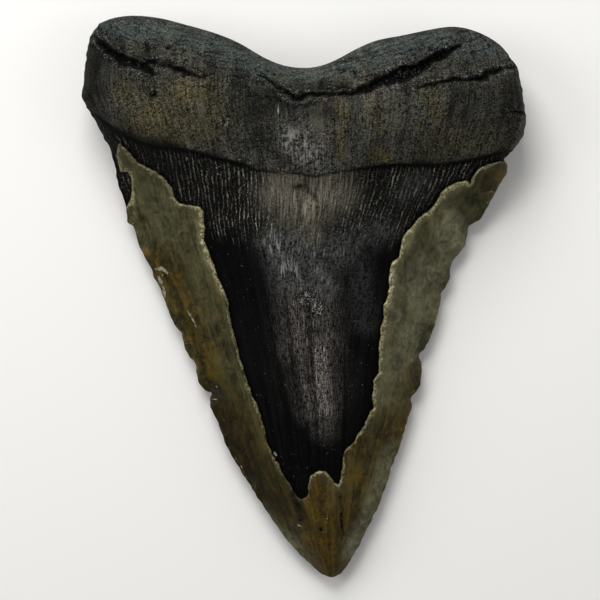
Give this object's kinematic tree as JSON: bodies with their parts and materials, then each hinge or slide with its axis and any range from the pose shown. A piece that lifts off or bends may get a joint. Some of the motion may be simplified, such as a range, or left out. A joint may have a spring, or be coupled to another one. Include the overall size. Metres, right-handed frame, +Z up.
{
  "type": "megalodon tooth",
  "caption": "Large fossil shark tooth lying flat, broad triangular blade with worn edges, thick two-lobed root and enamel broken away from the middle of the blade.",
  "frame": {"origin": "below the middle of the tooth's bounding box, on the surface that it lies on", "axes": "+Y along the tooth from its tip to its root, +X across it from the left cutting edge of the picture to the right one, +Z up through the bulging tongue-side face"},
  "size_m": [0.1108, 0.1406, 0.0267],
  "materials": {
    "tooth": "semi-gloss olive-grey enamel, near-black dentine where it has broken away, matt dark grey root"
  },
  "bodies": {
    "root": {"tooth": "tooth"}
  },
  "joints": []
}
